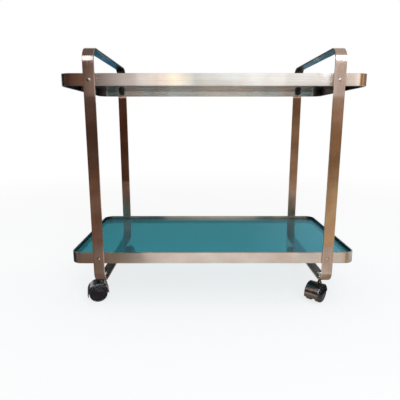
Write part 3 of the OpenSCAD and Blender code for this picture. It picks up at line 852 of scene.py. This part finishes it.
# A row of cards 6 cm before the front posts, side by side from left to right, for the upper band.
# Those before the posts are cut low, so that the handles' bends see the window over them.
NEAR_Y = -0.275
ROW_BOTTOM, ROW_TOP = 0.56, 0.8
for name, x0, x1, top, left_tone, right_tone, level in (
    ("near_dark_left", -0.60, -0.384, ROW_TOP, "#2e2019", "#5b4136", 1.0),
    ("near_dark_rise", -0.384, -0.338, ROW_TOP, "#5b4136", "#8e6c60", 1.0),
    ("near_brown_left", -0.338, -0.322, 0.65, "#7a6258", "#9a8c84", 1.0),
    ("near_grey_post_left", -0.322, -0.315, 0.66, "#8e8078", "#91837b", 1.0),
    ("near_grey_left", -0.315, -0.20, ROW_TOP, "#887a72", "#fffcff", 1.0),
    ("near_pale_left", -0.20, -0.145, ROW_TOP, "#e6e8ec", "#fffefc", 1.5),
    ("near_warm_rise", -0.145, -0.102, ROW_TOP, "#f4f4f8", "#fffff0", 1.8),
    ("near_warm_fall", -0.102, -0.05, ROW_TOP, "#fffff0", "#ccd0d4", 1.8),
    ("near_pale_rise", -0.05, 0.05, ROW_TOP, "#c2c8c9", "#ddebf3", 1.8),
    ("near_pale_middle", 0.05, 0.19, ROW_TOP, "#deeaf3", "#d9dee0", 1.9),
    ("near_pale_fall", 0.19, 0.29, ROW_TOP, "#d0d4d7", "#e3e8ee", 1.75),
    ("near_pale_post_right", 0.29, 0.333, 0.665, "#e3e8ee", "#eaf0f7", 1.75),
    ("near_tan_post_edge", 0.333, 0.35, 0.65, "#d8d2cc", "#cec7c2", 1.5),
    ("near_tan_right", 0.35, 0.374, ROW_TOP, "#e4e0e0", "#e4e0e0", 1.5),
    ("near_pale_right", 0.374, 0.40, ROW_TOP, "#f0f0f0", "#e8dccc", 1.9),
    ("near_tan_edge_right", 0.40, 0.43, ROW_TOP, "#e8ccac", "#c8a47c", 1.2),
    ("near_brown_right", 0.43, 0.5, ROW_TOP, "#90704c", "#90704c", 1.2),
    ("near_golden_right", 0.5, 0.9, ROW_TOP, "#dcac7c", "#b08458", 1.3)
):
    card(name, upright(x0, x1, NEAR_Y, ROW_BOTTOM, top), left_tone, right_tone, level)
card("near_tan_post_right", hanging(0.305, 0.335, NEAR_Y + 0.001, 0.643, ROW_BOTTOM), "#b8aaa0", "#7c6456",
     level=1.15)

# Below that row: a ladder of tones before each front post, and shaded cards between and beside them.
LADDER_BOTTOM = 0.15
for side, x0, x1, tones in (
    ("left", -0.38, -0.285, (
        (ROW_BOTTOM, "#716059"), (0.47, "#5e4940"), (0.40, "#67554a"), (0.32, "#8c705f"),
        (LADDER_BOTTOM, "#a69388")
    )),
    ("right", 0.295, 0.38, (
        (ROW_BOTTOM, "#c2ae9e"), (0.52, "#c6ab95"), (0.50, "#d0b296"), (0.47, "#ad8f70"), (0.40, "#9a805f"),
        (0.32, "#ceb691"), (LADDER_BOTTOM, "#ffe4b8")
    ))
):
    for rung, ((top, upper_tone), (bottom, lower_tone)) in enumerate(zip(tones, tones[1:]), 1):
        corners = hanging(x0, x1, NEAR_Y, top, bottom)
        card("low_tone_" + side + "_" + str(rung), corners, upper_tone, lower_tone)
card("low_dark_left", upright(-0.60, -0.38, NEAR_Y, LADDER_BOTTOM, ROW_BOTTOM), "#33261f", "#3c2d26")
card("low_shade_left", upright(-0.285, -0.20, NEAR_Y, LADDER_BOTTOM, ROW_BOTTOM), "#4a3a32", "#5e4a3e")
card("low_pale_middle", upright(-0.20, 0.25, NEAR_Y, LADDER_BOTTOM, 0.36), "#f0cdb8", level=1.3)
card("low_brown_middle", upright(-0.20, -0.03, NEAR_Y, 0.36, ROW_BOTTOM), "#4a3a32")
card("low_tan_middle", upright(-0.03, 0.25, NEAR_Y, 0.36, ROW_BOTTOM), "#f0cdb8", level=0.7)
card("low_shade_right", upright(0.25, 0.295, NEAR_Y, LADDER_BOTTOM, ROW_BOTTOM), "#7a5c42")
card("low_golden_right", upright(0.38, 0.6, NEAR_Y, LADDER_BOTTOM, ROW_BOTTOM), "#7c5a3c")

# Strips hidden under the upper glass: bright ones for the inside of the rear band to mirror, and dark
# ones close before them for the inner ends.
STRIP_Y, BACKING_Y = -0.03, -0.032
STRIP_TOP, BACKING_TOP = 0.5965, 0.5975
card("under_glass_edge_left", upright(-0.372, -0.345, STRIP_Y, 0.584, STRIP_TOP), "#ffe8e2", level=1.6)
card("under_glass_left", upright(-0.345, -0.175, STRIP_Y, 0.584, STRIP_TOP), "#ffe8e2", level=2.9)
card("under_glass_middle", upright(-0.175, 0.13, STRIP_Y, 0.565, STRIP_TOP), "#ffe8e2", level=1.6)
card("under_glass_right", upright(0.13, 0.372, STRIP_Y, 0.575, STRIP_TOP), "#ffe8e2", level=1.8)
card("under_glass_back_left", upright(-0.376, -0.175, BACKING_Y, 0.582, BACKING_TOP), "#100c0a")
card("under_glass_back_right", upright(0.13, 0.376, BACKING_Y, 0.574, BACKING_TOP), "#100c0a")

# Dark cards under the ends of the lower glass, for the tops of the loops' bottom runs, and a shade
# before the upper part of each rear post.
UNDER_TRAY_Z = 0.132
SHADE_Y, SHADE_TOP, SHADE_BOTTOM = 0.192, 0.576, 0.28
card("under_tray_left", lying(-0.374, -0.24, -0.19, 0.19, UNDER_TRAY_Z), "#1c2826")
card("under_tray_right", lying(0.24, 0.374, 0.02, 0.19, UNDER_TRAY_Z), "#1f2b27")
card("under_tray_front_right", lying(0.24, 0.374, -0.19, 0.02, UNDER_TRAY_Z), "#38443f")
card("post_shade_left", hanging(-0.337, -0.277, SHADE_Y, SHADE_TOP, SHADE_BOTTOM), "#5b3b2d", "#674e40")
card("post_shade_right", hanging(0.277, 0.337, SHADE_Y, SHADE_TOP, SHADE_BOTTOM), "#8c6f55", "#b8a086")

# Blue and dark cards behind the cart, which the handles' undersides and the glass mirror.
REAR_Y, SPLIT_Z = 1.9, 0.55
card("blue_card_rear_left", upright(-1.1, -0.45, REAR_Y, 0.0, SPLIT_Z), "#226f9b")
card("dark_card_rear_low", upright(-0.45, 0.45, REAR_Y, 0.0, SPLIT_Z), "#1e2122")
card("blue_card_rear_right", upright(0.45, 1.2, REAR_Y, 0.0, SPLIT_Z), "#2f9ec7", "#644e4d")
card("dark_card_rear", upright(-2.0, 0.35, REAR_Y, SPLIT_Z, 1.9), "#22282a", "#555f61")
card("blue_card_rear_high", upright(0.35, 2.0, REAR_Y, SPLIT_Z, 1.9), "#555f61", "#b3e1ff")


def softbox(name, place, target, size, watts, colour):
    """A rectangular lamp at place that faces target, seen neither by the camera nor in gloss."""
    lamp = bpy.data.lights.new(name, "AREA")
    lamp.shape = "RECTANGLE"
    lamp.size, lamp.size_y = size
    lamp.energy = watts
    lamp.color = linear(colour)[:3]
    box = shown(name, lamp)
    facing = np.array(target) - np.array(place)
    box.location = place
    tip = math.acos(-facing[2] / np.linalg.norm(facing))
    box.rotation_euler = (tip, 0, math.atan2(-facing[0], facing[1]))
    box.visible_camera = box.visible_glossy = False


softbox("window", (0.345, -2.21, 2.45), (0.345, 0.0, 2.45), (1.81, 2.6), 70, "#e2eeff")
softbox("overhead", (0.0, 0.2, 3.0), (0.0, 0.0, 0.0), (2.6, 2.0), 30, "#fffaf4")


# Camera
# The photograph's own view: a lens a hand's breadth lower than the upper tray, 97 cm before the front
# posts and a little left of the middle, tipped down by 11.5 degrees.
LENS_PIXELS = 384.43
FRAME_PIXELS = 400
SENSOR = 36.0
EYE = (-0.0371, -1.1784, 0.4939)
TIP_DOWN = 0.20038
TURN = -0.00211
lens = bpy.data.cameras.new("camera")
lens.sensor_width = SENSOR
lens.lens = SENSOR * LENS_PIXELS / FRAME_PIXELS
lens.clip_start = 0.05
camera = shown("camera", lens)
camera.location = EYE
camera.rotation_euler = (math.pi / 2 - TIP_DOWN, 0.0, TURN)
bpy.context.scene.camera = camera
bpy.context.scene.view_settings.view_transform = "Standard"
